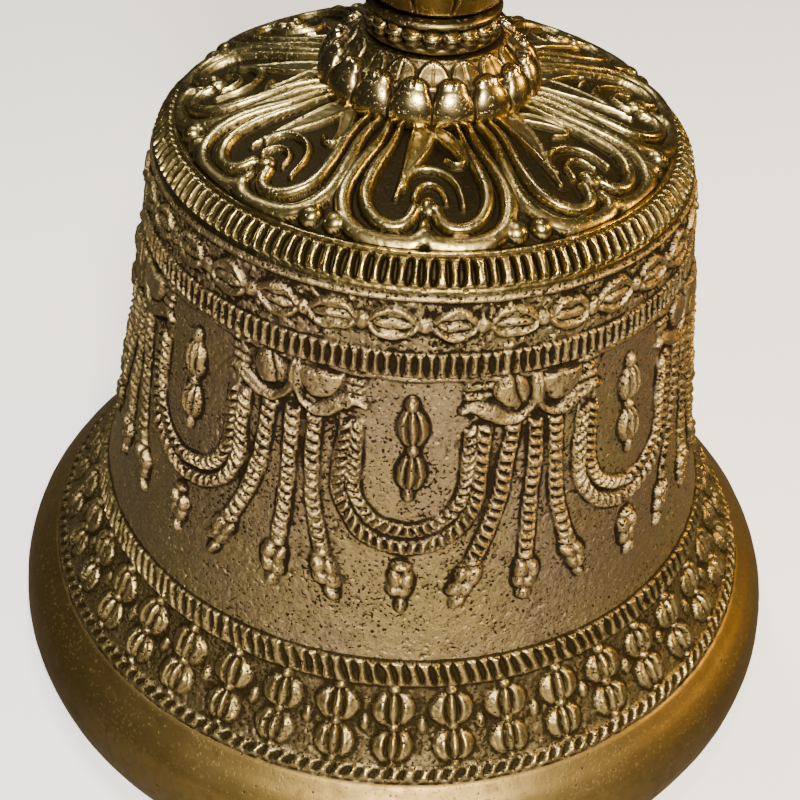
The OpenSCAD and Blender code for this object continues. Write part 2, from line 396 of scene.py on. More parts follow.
def leafCluster(c, y, p):
    # round leaf on the left, drop in the middle, hanging half-moon leaf on the right, and a ribbon under them
    cw = c + 0.22 * lumps(p, 1.6, 23)
    yw = y + 0.16 * lumps(p, 1.3, 24)
    left = boss(cw + 2.5, (yw - 51.3) + 0.12 * (cw + 2.5), 1.75, 1.65) ** 0.5
    left = left * (1 - 0.55 * np.exp(-((cw + 1.9 + 0.3 * (yw - 51)) / 0.20) ** 2))
    moon = boss(cw - 2.75, yw - 52.35, 2.25, 2.75) ** 0.45 * smooth(52.65, 52.2, yw)
    drop = boss(cw - 0.15, yw - 51.2, 0.82, 1.75) ** 0.7
    drop = drop - 0.25 * np.exp(-((cw - 0.15) / 0.10) ** 2) * smooth(50.0, 52.0, yw)
    h = waist["leafHeight"] * np.maximum.reduce([0.92 * left, moon, drop])
    d, side, length = alongLine(np.abs(cw), yw, waist["ribbon"])
    wide = 0.30 + 0.42 * smooth(1.0, 4.6, length) - 0.45 * smooth(5.8, 7.6, length)
    lip = halfRound(d, np.maximum(wide, 0.12)) ** 0.6 * (0.72 + 0.28 * smooth(-0.1, 0.3, side))
    return np.maximum(h, 0.78 * lip)


def waistRelief(theta, z, run, p):
    # eight panels, each a vajra in a double loop, with strands, tassels and leaves between them
    panel = wrapped(theta, panelPitch, bell["patternTurn"]) * degreeMm
    x = panel + waist["waver"] * lumps(p, 3.1, 11) + 0.07 * lumps(p, 0.9, 13)
    y = z + waist["waver"] * lumps(p, 2.7, 12) + 0.07 * lumps(p, 0.8, 14)
    c = wrapped(theta, panelPitch, bell["patternTurn"] + panelPitch / 2) * degreeMm + (x - panel)
    cords = 0
    for k, (line, half, pitch, lay) in enumerate(waist["loops"]):
        cords = np.maximum(cords, ladderCord(x, y, line, half, pitch, lay * np.sign(x), 15 + k, p))
    h = 0
    for k, (line, (tx, ty, lean)) in enumerate(waist["strands"]):
        cords = np.maximum(cords, ladderCord(c, y, line, waist["strandHalf"], 1.02, 0.16, 17 + k, p))
        h = np.maximum(h, 0.9 * tassel(c - tx, y - ty, lean, p, 91 + 2 * k))
    cords = cords * smooth(48.2, 47.3, y)
    # the cast cords are uneven: here and there a stretch lies lower
    h = np.maximum(h, waist["cordHeight"] * cords * (0.88 + 0.20 * lumps(p, 2.2, 26)))
    h = np.maximum(h, waist["vajraHeight"] * uprightVajra(x, y - waist["vajraZ"], 0.97))
    h = np.maximum(h, 0.88 * tassel(x + 0.15, y - 31.1, 0.02, p, 97))
    h = np.maximum(h, leafCluster(c, y, p))
    # short strokes beside the panels, and a thin ledge over them
    stroke = halfRound(wrapped(y, 0.92, 50.9), 0.30) * smooth(49.9, 50.3, y) * smooth(53.2, 53.0, y)
    stroke = stroke * smooth(4.5, 4.9, np.abs(x)) * smooth(6.9, 6.2, np.abs(x))
    h = np.maximum(h, 0.55 * stroke * (0.8 + 0.5 * lumps(p, 1.0, 27)))
    h = np.maximum(h, 0.30 * halfRound(y - 52.75, 0.24))
    # rough field round the leaves and between the cords
    rough = smooth(46.0, 48.6, y) * smooth(4.0, 5.2, np.abs(x))
    field = lumps(p, 0.62, 21) * 0.6 + lumps(p, 0.34, 22) * 0.4
    h = np.maximum(h, 0) + rough * 0.34 * np.maximum(0, field + 0.12) * (h < 0.2)
    # stray casting fins low on the plain field
    fin = np.exp(-(lumps(p, 4.2, 31) / 0.02) ** 2) * smooth(0.45, 0.70, lumps(p, 6.3, 32)) * smooth(35, 33, y)
    h = h + 0.16 * fin * (h < 0.1)
    return h, 0.40 * rough * smooth(0.35, 0.05, h)


eyeChain = {"rows": 60, "cols": 1440, "count": 32, "z": 57.9, "turn": -3.5, "height": 0.72,
            "degreeMm": 0.476, "low": 55.2, "high": 60.2, "ribs": 180, "ribZ": 54.1, "ribHalf": 1.12,
            "ribHeight": 0.40, "slotDepth": 0.34}


def chainRelief(theta, z, run, p):
    # a chain of eyes, each of two bowed lids with a ridge between them, joined by beads, over a slotted strip
    pitch = 360 / eyeChain["count"]
    t = theta + 0.55 * lumps(p, 2.6, 42) + 0.22 * lumps(p, 0.9, 47)
    u = wrapped(t, pitch, eyeChain["turn"]) * eyeChain["degreeMm"]
    v = z - eyeChain["z"] + 0.22 * lumps(p, 2.2, 41) + 0.13 * lumps(p, 0.8, 43) - 0.25 * lumps(p, 7.0, 44)
    bow = 1 - (u / 2.25) ** 2
    ends = smooth(2.35, 1.8, np.abs(u))
    lids = np.maximum(halfRound(v - 1.26 * bow, 0.40), halfRound(v + 1.18 * bow, 0.40)) * ends
    ridges = np.maximum(boss(u, v, 1.75, 0.46) ** 0.7, 0.65 * boss(u, np.abs(v) - 0.74, 1.35, 0.24) ** 0.7)
    between = wrapped(t, pitch, eyeChain["turn"] + pitch / 2) * eyeChain["degreeMm"]
    bead = boss(between, v, 0.72, 0.70)
    h = eyeChain["height"] * np.maximum.reduce([lids, ridges, bead]) * (0.85 + 0.35 * lumps(p, 1.5, 48))
    low, high = eyeChain["low"], eyeChain["high"]
    inBand = smooth(low, low + 0.5, z) * smooth(high, high - 0.4, z)
    field = lumps(p, 0.52, 45) * 0.6 + lumps(p, 0.30, 46) * 0.4
    h = (h + 0.36 * np.maximum(0, field + 0.05) * (h < 0.15)) * inBand
    h = np.maximum(h, 0.30 * halfRound(z - 60.35, 0.25) + 0.10 * smooth(60.2, 60.6, z))
    across = z - eyeChain["ribZ"]
    strip = smooth(eyeChain["ribHalf"] + 0.1, eyeChain["ribHalf"] - 0.07, np.abs(across))
    rib = slottedBand(theta, across, eyeChain["ribs"], eyeChain["ribHalf"], 0.50, 5)
    stain = np.maximum(0.36 * inBand * smooth(0.25, 0.0, h), strip * (1 - rib) * 1.1)
    ribbed = eyeChain["ribHeight"] * rib - eyeChain["slotDepth"] * (1 - rib)
    return np.where(strip > 0, np.maximum(h, strip * ribbed), h), stain


shoulderRibs = {"rows": 40, "cols": 1152, "count": 144, "top": 24.55, "low": 61.35,
                "ribHeight": 0.46, "slotDepth": 0.46}
# thin ring where the dome meets the ribs
domeRim = {"radius": 24.3, "inner": 23.9, "height": 0.34, "half": 0.24}


def shoulderRelief(theta, z, run, p):
    # broad ribs parted by narrow black slots, under a thin ring at the dome's edge
    top, low = runAtRho(shoulderRibs["top"]), runAtZ(shoulderRibs["low"])
    across = run - (top + low) / 2
    half = (low - top) / 2
    strip = smooth(half, half - 0.2, np.abs(across))
    rib = slottedBand(theta, across, shoulderRibs["count"], half, 0.43, 9)
    rounded = 0.86 + 0.14 * np.cos(np.radians(theta * shoulderRibs["count"]) + math.pi)
    h = 0.12 * smooth(low - 0.1, low + 0.25, run)
    h = np.maximum(h, domeRim["height"] * halfRound(run - runAtRho(domeRim["radius"]), domeRim["half"]))
    ribbed = shoulderRibs["ribHeight"] * rib * rounded - shoulderRibs["slotDepth"] * (1 - rib)
    return np.where(strip > 0, strip * ribbed + (1 - strip) * h, h), strip * (1 - rib) * 1.1


domePetals = {
    "rows": 98, "cols": 930,
    "waver": 0.14,
    # right-hand half of a petal's two outlines: (sideways, away from the axis)
    "outer": curve([(3.55, 9.6), (3.9, 11.2), (4.65, 13.2), (5.9, 15.4), (6.95, 17.6), (7.30, 19.6),
                    (6.85, 21.5), (5.6, 22.8), (3.7, 23.5), (1.9, 23.7), (0.6, 23.45), (0.0, 22.9)], 4),
    "inner": curve([(2.45, 9.6), (2.75, 11.2), (3.35, 13.2), (4.35, 15.4), (5.15, 17.6), (5.35, 19.3),
                    (4.8, 20.9), (3.7, 21.95), (2.4, 22.2), (1.45, 21.7), (0.95, 20.7)], 4),
    "outerHalf": 0.74, "innerHalf": 0.60, "height": 0.84,
    # sprout scroll: stem, hooked leaf, two arcs; each is a line, its half-width at the root and at the tip
    "sprout": (
        ([(-0.2, 9.4), (-0.5, 11.4), (-0.9, 13.4), (-1.4, 15.4), (-2.0, 17.2), (-2.7, 19.4)], 1.25, 0.30),
        ([(0.3, 10.6), (1.5, 11.8), (2.5, 13.2), (3.0, 14.8), (2.3, 15.2), (1.5, 14.7)], 0.85, 0.28),
        ([(-2.0, 18.2), (-1.6, 16.9), (-0.2, 16.1), (1.5, 16.5), (2.7, 17.9), (3.15, 19.9)], 0.46, 0.34),
        ([(-1.0, 19.5), (-0.7, 18.5), (0.3, 17.9), (1.3, 18.4), (1.7, 19.6)], 0.38, 0.28)),
    "sproutHeight": 0.66,
}


def domeRelief(theta, rho, run, p):
    # eight lotus petals with double outlines, a sprout scroll in each, and pearls between their tips
    t = np.radians(wrapped(theta, panelPitch, bell["patternTurn"]))
    x = rho * np.sin(t) + domePetals["waver"] * lumps(p, 3.3, 51)
    y = rho * np.cos(t) + domePetals["waver"] * lumps(p, 3.3, 52)
    which = np.floor((theta - bell["patternTurn"]) / panelPitch + 0.5)
    lean = 1 + 0.06 * lumps(which[..., None] * np.array([1.7, 1.7, 1.7]), 1.0, 55) * np.sign(x)
    h = 0
    for line, half in ((domePetals["outer"], domePetals["outerHalf"]),
                       (domePetals["inner"], domePetals["innerHalf"])):
        d, side, length = alongLine(np.abs(x) * lean, y, line)
        ridge = halfRound(d, half * (0.52 + 0.48 * smooth(1.0, 8.0, length)))
        h = np.maximum(h, domePetals["height"] * ridge ** 0.6)
    for points, wide, narrow in domePetals["sprout"]:
        d, side, length = alongLine(x, y, curve(points, 4))
        w = wide + (narrow - wide) * smooth(0.25 * length.max(), length.max(), length)
        h = np.maximum(h, domePetals["sproutHeight"] * plate(d, w))
    h = np.maximum(h, 0.80 * boss(x - 0.25, y - 20.3, 0.80, 1.0) ** 0.7)
    h = np.maximum(h, 0.62 * boss(x, y - 22.2, 0.55, 0.9) ** 0.8)
    gap = wrapped(theta, panelPitch, bell["patternTurn"] + panelPitch / 2)
    px, py = rho * np.sin(np.radians(gap)), rho * np.cos(np.radians(gap))
    h = np.maximum(h, boss(np.abs(px + 0.12 * lumps(p, 3.0, 56)) - 1.15, py - 22.9, 1.02, 0.96) ** 0.8)
    h = np.maximum(h, 0.45 * boss(px, py - 20.6, 0.35, 1.0))
    h = h * smooth(domeRim["radius"], domeRim["inner"], rho)
    h = np.maximum(h, domeRim["height"] * halfRound(rho - domeRim["radius"], domeRim["half"]))
    return h + 0.05 * smooth(10.9, 11.6, rho), 0.90 * smooth(0.34, 0.05, h)


fence = {"rows": 66, "cols": 1320, "count": 40, "turn": 1.5, "height": 1.0, "cut": 0.23,
         "top": 19.45, "low": 12.6, "upperRope": (22.05, 19.6), "lowerRope": (12.55, 11.62), "ropeCount": 176}


def cutRope(theta, run, zHigh, zLow, slant, height, seed):
    # twisted cord round the bell: slanting ribs between two heights
    a, b = runAtZ(zHigh), runAtZ(zLow)
    across, half = run - (a + b) / 2, (b - a) / 2
    rib = slottedBand(theta + slant * across / half, across, fence["ropeCount"], half, 0.46, seed)
    strip = smooth(half + 0.05, half - 0.18, np.abs(across))
    return strip, strip * (height * rib - 0.06 * (1 - rib)), strip * (1 - rib)


def fenceRelief(theta, z, run, p):
    # a fence of upright vajras round the flare, between two twisted cords
    top, low = runAtZ(fence["top"]), runAtZ(fence["low"])
    y = (low + top) / 2 - run + 0.14 * lumps(p, 2.6, 61) + 0.06 * lumps(p, 0.9, 66)
    t = theta + 0.30 * lumps(p, 3.5, 62)
    step = 360 / fence["count"]
    which = np.floor((t - fence["turn"]) / step + 0.5).astype(np.int64) % fence["count"]
    jitter = scatter(which, which * 0 + 3, which * 0 + 5, 9) - 0.5
    x = wrapped(t, step, fence["turn"]) * math.pi / 180 * outerR(z) + jitter * 0.35 + 0.08 * lumps(p, 1.1, 67)
    high = (low - top) / 2
    h = 0
    for shift, w, tall in ((-0.42 * high, 1.80, 1.75), (0.48 * high, 1.72, 1.62)):
        bulb = ribbedBulb(x, y + shift, w, tall, fence["cut"])
        claw = halfRound(np.hypot(x / 1.15, y + shift) - w * 0.9, 0.26) * smooth(0.6, 1.1, np.abs(x))
        h = np.maximum.reduce([h + 0 * x, bulb, 0.55 * claw])
    h = np.maximum.reduce([h, 0.8 * boss(x, y + 0.02, 0.62, 0.5), 0.75 * boss(x, y - high * 0.93, 0.6, 0.52),
                           0.6 * boss(x, y + high * 0.98, 0.5, 0.45)])
    h = h * fence["height"] * (0.90 + 0.22 * lumps(p, 1.7, 70))
    between = wrapped(t, step, fence["turn"] + step / 2) * math.pi / 180 * outerR(z)
    h = np.maximum(h, 0.45 * boss(between, y - 0.1, 0.5, 0.9))
    within = smooth(low + 0.1, low - 0.25, run) * smooth(top - 0.25, top + 0.1, run)
    h = h * within
    field = lumps(p, 0.6, 63) * 0.6 + lumps(p, 0.34, 64) * 0.4
    h = h + 0.20 * np.maximum(0, field) * (h < 0.15) * within
    stain = 0.52 * smooth(0.30, 0.05, h) * within
    ropes = (cutRope(theta + 0.35 * lumps(p, 1.6, 68), run, *fence["upperRope"], -0.65, 0.62, 3),
             cutRope(theta, run, *fence["lowerRope"], 0.5, 0.42, 4))
    for strip, ribbed, slots in ropes:
        # hammered unevenly: some ribs lie lower and flatter
        h = np.where(strip > 0, np.maximum(h, ribbed * (0.80 + 0.30 * lumps(p, 0.9, 69))), h)
        stain = np.maximum(stain, slots)
    return h, stain


def wear(h, rowMm, colMm, closed):
    # patina fills the recesses, polish is on the tops that hands rub, grime is ground close to raised work
    fine = softened(h, 0.30 / rowMm, 0.30 / colMm, closed)
    wide = softened(h, 1.00 / rowMm, 1.00 / colMm, closed)
    hollow = (fine - h) / 0.11 + (wide - h) / 0.42
    proud = (h - fine) / 0.11 + (h - wide) / 0.38
    near = softened(h, 1.5 / rowMm, 1.5 / colMm, closed)
    grime = smooth(0.03, 0.34, near) * smooth(0.32, 0.08, h)
    polish = np.maximum(smooth(0.25, 1.6, proud), 0.55 * smooth(0.30, 0.60, h))
    return smooth(0.15, 1.25, hollow), polish, grime


def reliefPatch(name, low, high, rows, thetas, closed, shape, clean=0.0):
    # a band or part of a band of the wall: the cast outside, and a smooth back inside the metal
    # height over the wall = blurred pattern + grain - pits; clean takes grain and pits away
    run = np.linspace(low, high, rows)[:, None] + 0 * thetas[None, :]
    theta = thetas[None, :] + 0 * run
    rho, z, nr, nz = wallAt(run)
    p = around(rho, z, theta)
    h, stain = shape(theta, rho if shape is domeRelief else z, run, p)
    rowMm = (high - low) / (rows - 1)
    colMm = math.radians(abs(thetas[1] - thetas[0])) * float(rho.mean())
    h = softened(h, casting["soften"] / rowMm, casting["soften"] / colMm, closed)
    patina, polish, grime = wear(h, rowMm, colMm, closed)
    many = (0.15 + 0.85 * smooth(-0.2, 0.3, lumps(p, 4.2, 75))) * (1 - clean)
    # the dark in the recesses comes and goes along them
    patina = patina * (1 - (1 - clean) * 0.34 * smooth(0.20, -0.40, lumps(p, 1.7, 76)))
    pits = smooth(0.62 - 0.50 * grime, 0.82 - 0.48 * grime, lumps(p, 0.40, 74)) * many
    patina = np.maximum(np.maximum(patina, stain), (0.62 + 0.20 * grime) * pits)
    h = h - casting["pitDepth"] * pits + 0.05 * lumps(p, 5.5, 73)
    h = h + casting["grainHeight"] * (1 - 0.75 * clean) * (0.5 * lumps(p, 0.8, 71) + 0.5 * lumps(p, 0.36, 72))
    front = around(rho + h * nr, z + h * nz, theta)
    run2 = np.linspace(high, low, 8)[:, None] + 0 * thetas[None, :]
    theta2 = thetas[None, :] + 0 * run2
    rho2, z2, nr2, nz2 = wallAt(run2)
    rear = around(rho2 - casting["backOff"] * nr2, z2 - casting["backOff"] * nz2, theta2)
    rearNormals = np.stack([-nr2 * np.sin(np.radians(theta2)), nr2 * np.cos(np.radians(theta2)), -nz2], -1)
    points = np.concatenate([front, rear])
    total, cols = points.shape[:2]
    ends = [] if closed else [(np.arange(total) * cols)[::-1], np.arange(total) * cols + cols - 1]
    pad = np.zeros(rear.shape[:2])
    piece = meshFrom(name, points.reshape(-1, 3), gridQuads(total, cols, True, closed), ends,
                     np.concatenate([gridNormals(front, closed), rearNormals]),
                     {"patina": np.concatenate([patina, pad + 0.6]), "polish": np.concatenate([polish, pad]),
                      "grime": np.concatenate([grime, pad])})
    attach(piece, "bell")
    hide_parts("bell_shell")


def reliefRing(name, low, high, piece, shape, clean=0.0):
    # the same for a band that goes all the way round
    reliefPatch(name, low, high, piece["rows"], fullTurn(piece["cols"]), True, shape, clean)


domeEnd, chainTop, chainLow, fenceTop = runAtRho(23.95), runAtZ(60.9), runAtZ(52.85), runAtZ(22.3)
reliefRing("shell_dome_petals", 0.0, domeEnd, domePetals, domeRelief, 0.85)
print("dome petals done")
reliefRing("shell_shoulder_ribs", domeEnd, chainTop, shoulderRibs, shoulderRelief, 0.35)
reliefRing("shell_eye_chain", chainTop, chainLow, eyeChain, chainRelief)
print("shoulder and chain done")
for i in range(4):
    start = bell["patternTurn"] + waist["seam"] + 90 * i
    reliefPatch(f"shell_waist_{i + 1}", chainLow, fenceTop, waist["rows"],
                np.linspace(start, start + 90, waist["cols"]), False, waistRelief)
print("waist done")
reliefRing("shell_vajra_fence", fenceTop, wallRun[-1], fence, fenceRelief, 0.2)
print("fence done")


# Turned pieces: a closed outline carried round the axis, with relief along its outward normal.

def turnedPiece(name, outline, cols, shape, replaces="bell_shell", poles=False):
    # outline is an array of (radius, height), downwards on the outside; poles closes it on the axis
    o = np.asarray(outline, float)
    theta = fullTurn(cols)[None, :] + np.zeros((len(o), 1))
    o = o[np.concatenate([[True], np.hypot(*np.diff(o, axis=0).T) > 0.001])]
    d = np.gradient(o, axis=0) if poles else np.roll(o, -1, 0) - np.roll(o, 1, 0)
    length = np.maximum(np.hypot(d[:, 0], d[:, 1]), 1e-9)
    nr, nz = -d[:, 1] / length, d[:, 0] / length
    rho, z = o[:, :1] + 0 * theta, o[:, 1:] + 0 * theta
    run = np.concatenate([[0], np.cumsum(np.hypot(*np.diff(o, axis=0).T))])
    p = around(rho, z, theta)
    h = shape(theta, rho, z, run[:, None] + 0 * theta, p)
    rowMm = max(float(np.median(np.diff(run))), 0.02)
    colMm = max(math.radians(360 / cols) * float(o[:, 0].max()), 0.02)
    patina, polish, grime = wear(h, rowMm, colMm, True)
    h = h + (0.02 * lumps(p, 0.9, 81) + 0.03 * lumps(p, 4.0, 82)) * (rho > 3) * smooth(0.3, 1.6, z)
    front = around(rho + h * nr[:, None], z + h * nz[:, None], theta)
    worn = {"patina": patina, "polish": polish, "grime": grime}
    if poles:
        body = front[1:-1]
        verts = np.concatenate([body.reshape(-1, 3), front[0, :1], front[-1, :1]])
        top, last = body.shape[0] * cols, (body.shape[0] - 1) * cols
        j = np.arange(cols)
        k = (j + 1) % cols
        fans = [[top, a, b] for a, b in zip(j, k)] + [[top + 1, last + b, last + a] for a, b in zip(j, k)]
        worn = {key: np.concatenate([a[1:-1].ravel(), [a[0, 0], a[-1, 0]]]) for key, a in worn.items()}
        piece = meshFrom(name, verts, gridQuads(body.shape[0], cols, False, True), fans, None, worn)
    else:
        piece = meshFrom(name, front.reshape(-1, 3), gridQuads(len(o), cols, True, True), (), None, worn)
    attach(piece, "bell")
    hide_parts(replaces)


def spaced(points, step):
    # the same broken line with a point every step mm
    p = np.asarray(points, float)
    run = np.concatenate([[0], np.cumsum(np.hypot(*np.diff(p, axis=0).T))])
    s = np.linspace(0, run[-1], max(2, int(round(run[-1] / step)) + 1))
    return np.stack([np.interp(s, run, p[:, 0]), np.interp(s, run, p[:, 1])], -1)


def arc(radius, high, z, low, steps, start=0.0):
    # quarter ellipse from the wall at height z in to the radius low, as (radius, height)
    a = np.radians(np.linspace(start, math.degrees(math.acos(low / radius)), steps))
    return np.stack([radius * np.cos(a), z + high * np.sin(a)], -1)


mouth = bell["mouthRadius"]
lip = {"cols": 440, "bead": 3.2, "flatOuter": 1.4, "flatInner": 2.6, "waver": 0.06}
lipTopR = outerR(bell["lipTop"])
lipOutside = curve([(lipTopR, bell["lipTop"]), (mouth - 1.0, 8.2), (mouth, 4.4), (mouth - 0.4, 1.2),
                    (mouth - 1.2, 0)], 10)
lipLoop = np.concatenate([
    spaced(lipOutside, 0.45),
    spaced([(mouth - lip["flatOuter"], 0), (mouth - lip["flatInner"], 0)], 0.3),
    spaced([(mouth - lip["bead"], 0.8), (mouth - lip["bead"], 3.6)], 0.5),
    spaced([(innerR(5.2), 5.2), (innerR(5.2) + 0.9, 6.2), (lipTopR - 1.4, bell["lipTop"])], 0.7)])


def lipShape(theta, rho, z, run, p):
    # slow waver and faint turning marks, none on the flat it stands on
    turning = 0.015 * np.sin(run * 3.1 + 0.3 * lumps(p, 5, 92))
    return (lip["waver"] * lumps(p, 7.0, 91) + turning) * smooth(0.3, 1.6, z)


turnedPiece("shell_lip", lipLoop, lip["cols"], lipShape)

inside = {"cols": 230, "domeZ": domeZ - 2, "domeRise": 6.3, "washerSeat": 7.0, "seatDepth": 3.2,
          "backWall": 1.5}
crown = bell["height"]
washerZ = crown - inside["seatDepth"]
zInner = np.linspace(5.0, inside["domeZ"], 60)
zBack = np.linspace(5.6, domeZ, 40)
innerLoop = np.concatenate([
    arc(innerR(inside["domeZ"]), inside["domeRise"], inside["domeZ"], inside["washerSeat"], 26)[::-1],
    np.stack([innerR(zInner), zInner], -1)[-2::-1],
    np.stack([innerR(zBack) + inside["backWall"], zBack], -1),
    arc(outerR(domeZ) - 1.0, bell["domeRise"], domeZ - 0.9, bell["seatRadius"], 20, 4),
    [(9.5, crown - 0.7), (9.2, crown - 0.6), (9.15, crown - 0.01), (boreRadius + 0.15, crown),
     (boreRadius, crown - 0.1), (boreRadius, washerZ + 0.1), (boreRadius + 0.15, washerZ),
     (inside["washerSeat"] - 0.1, washerZ), (inside["washerSeat"], washerZ - 0.02)]])[::-1]


def innerShape(theta, rho, z, run, p):
    # two sizes of shallow lumps
    return 0.03 * lumps(p, 3.0, 95) + 0.02 * lumps(p, 1.0, 96)


turnedPiece("shell_inner_wall", innerLoop, inside["cols"], innerShape)
print("lip and inner wall done")


def ringMm(theta, count, phase, radius):
    # mm round a ring of this radius from the nearest of count marks
    return np.radians(wrapped(theta, 360 / count, phase)) * radius


def ringBeads(theta, y, count, radius, size):
    # a row of round beads on a ring
    return boss(ringMm(theta, count, 0, radius), y, size, size)


def petalRow(theta, v, count, phase, point):
    # a row of pointed petals with a rim and a crease: v runs from 0 at the root to 1 at the tip
    e = np.abs(wrapped(theta, 360 / count, phase)) / (180 / count)
    edge = np.maximum(0, 1 - np.clip(v, 0, 1) ** point) ** 0.62 - e
    body = smooth(0.0, 0.16, edge) * (0.55 + 0.45 * np.sqrt(np.maximum(0, 1 - e ** 2)))
    rim = np.exp(-((edge - 0.10) / 0.06) ** 2) * 0.35
    crease = np.exp(-(e / 0.07) ** 2) * 0.22 * smooth(0.1, 0.4, v)
    return np.where((v >= 0) & (v <= 1), body + rim - crease, 0)


def boredOutline(node, points, step):
    # outer line of a section of the handle, closed by its bore; points are (radius, height from its foot)
    low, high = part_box(node)
    base, top = low.z / mm, high.z / mm
    out = spaced(curve(points, 6)[::-1] + [0, base], step)
    b = boreRadius
    return np.concatenate([spaced([(b + 0.15, top), (out[0, 0] - 0.15, top)], 0.8), out,
                           spaced([(out[-1, 0] - 0.15, base), (b + 0.15, base)], 0.8),
                           spaced([(b, base + 0.15), (b, top - 0.15)], 1.5)]), base


foot = {"cols": 560, "step": 0.16, "lobes": 16, "turn": 14.0, "lobeWidth": 1.94, "lobeTall": 2.3,
        "lobeHeight": 1.15, "lobeRadius": 9.2,
        "line": [(9.35, 0), (9.75, 1.2), (9.1, 2.9), (8.2, 3.5), (7.6, 4.1), (7.0, 4.7), (6.8, 5.2)]}
line, footBase = boredOutline("handle_foot", foot["line"], foot["step"])


def footShape(theta, rho, z, run, p):
    # plump round lobes under a row of small petals
    y = z - footBase
    t = theta + 0.8 * lumps(p, 3.0, 101)
    x = ringMm(t, foot["lobes"], foot["turn"], foot["lobeRadius"])
    lobe = boss(x, y - 1.5, foot["lobeWidth"], foot["lobeTall"]) ** 0.75 * (rho > 7) * smooth(-0.3, 0.7, y)
    upper = petalRow(t, (y - 3.1) / 2.0, foot["lobes"], foot["turn"] + 180 / foot["lobes"], 3.0) * (rho > 5)
    return foot["lobeHeight"] * lobe + 0.30 * upper * (y > 3.1)


turnedPiece("lotus_foot", line, foot["cols"], footShape, replaces="handle_foot")

collar = {"cols": 260, "step": 0.17, "beads": 20, "beadSize": 0.92, "beadHeight": 0.95,
          "line": [(5.7, 0), (6.35, 0.35), (6.35, 0.75), (5.75, 1.1), (5.65, 1.7), (5.75, 2.3),
                   (6.35, 2.65), (6.35, 3.05), (5.7, 3.4)]}
for node in ("lower_collar", "middle_collar", "upper_collar"):
    line, collarBase = boredOutline(node, collar["line"], collar["step"])

    def collarShape(theta, rho, z, run, p):
        # one row of beads round the middle
        t = theta + 0.7 * lumps(p, 2.5, 111)
        beads = ringBeads(t, z - collarBase - 1.7, collar["beads"], 6.0, collar["beadSize"])
        return collar["beadHeight"] * beads ** 0.85 * (rho > 5.3)

    turnedPiece(node + "_beads", line, collar["cols"], collarShape, replaces=node)

vase = {"cols": 390, "step": 0.18, "petals": 12, "beltZ": 7.45, "beltBeads": 36, "petalHeight": 0.42,
        "line": [(5.4, 0), (6.2, 1.2), (8.2, 4.6), (8.5, 7.4), (7.0, 11.0), (5.2, 13.2), (5.6, 15)]}
line, vaseBase = boredOutline("handle_vase", vase["line"], vase["step"])


def vaseShape(theta, rho, z, run, p):
    # rising and hanging petals either side of a beaded belt, and two rings at the neck
    y = z - vaseBase + 0.08 * lumps(p, 2.4, 122)
    t = theta + 0.9 * lumps(p, 3.0, 121)
    rising = petalRow(t, (y - 0.8) / 6.2, vase["petals"], 0, 2.4)
    hanging = petalRow(t, (12.6 - y) / 4.7, vase["petals"], 180 / vase["petals"], 2.4)
    belt = 0.8 * ringBeads(t, y - vase["beltZ"], vase["beltBeads"], 8.6, 0.62)
    rings = 0.22 * (halfRound(y - 12.9, 0.28) + halfRound(y - 13.8, 0.28))
    petals = vase["petalHeight"] * np.maximum(rising, hanging)
    return np.maximum.reduce([petals, 0.42 * belt, rings]) * (rho > 4.6)


turnedPiece("vase_section", line, vase["cols"], vaseShape, replaces="handle_vase")

barrel = {"cols": 380, "step": 0.18, "panels": 6, "radius": 6.9, "vajraScale": 0.72,
          "vajraHeight": 0.66, "cordHeight": 0.52, "layLength": 0.95,
          "line": [(5.4, 0), (6.0, 1.0), (6.7, 4.5), (6.9, 7), (6.7, 9.5), (6.0, 13.0), (5.4, 14)]}
line, barrelBase = boredOutline("handle_barrel", barrel["line"], barrel["step"])


def barrelShape(theta, rho, z, run, p):
    # upright vajras between twisted cords
    y = z - barrelBase
    t = theta + 0.9 * lumps(p, 3.0, 131)
    vajra = uprightVajra(ringMm(t, barrel["panels"], 0, barrel["radius"]), y - 7.0, barrel["vajraScale"])
    cord = ringMm(t, barrel["panels"], 180 / barrel["panels"], barrel["radius"])
    lay = 0.5 + 0.5 * np.cos(2 * math.pi * (y / barrel["layLength"] + cord * 0.45))
    twist = halfRound(cord, 0.6) ** 0.8 * (1 - 0.45 * lay ** 2)
    twist = twist * smooth(1.7, 2.2, y) * smooth(12.3, 11.8, y)
    rings = np.maximum(halfRound(y - 1.1, 0.26), halfRound(y - 12.9, 0.26))
    raised = [barrel["vajraHeight"] * vajra, barrel["cordHeight"] * twist, 0.28 * rings]
    return np.maximum.reduce(raised) * (rho > 4.6)


turnedPiece("barrel_section", line, barrel["cols"], barrelShape, replaces="handle_barrel")

cup = {"cols": 420, "step": 0.18, "petals": 12, "frontHeight": 0.46, "backHeight": 0.24,
       "line": [(5.2, 0), (5.6, 0.8), (8.0, 3.2), (9.8, 5.6), (10.1, 6.9), (9.4, 8)]}
line, cupBase = boredOutline("lotus_cup", cup["line"], cup["step"])


def cupShape(theta, rho, z, run, p):
    # two rows of petals, the back row showing between the front ones
    y = z - cupBase
    t = theta + 0.8 * lumps(p, 3.0, 141)
    back = petalRow(t, (y - 1.2) / 6.4, cup["petals"], 180 / cup["petals"], 2.6)
    front = petalRow(t, (y - 0.4) / 5.6, cup["petals"], 0, 2.3)
    return np.maximum(cup["frontHeight"] * front, cup["backHeight"] * back) * (rho > 4.8)


turnedPiece("lotus_cup_petals", line, cup["cols"], cupShape, replaces="lotus_cup")

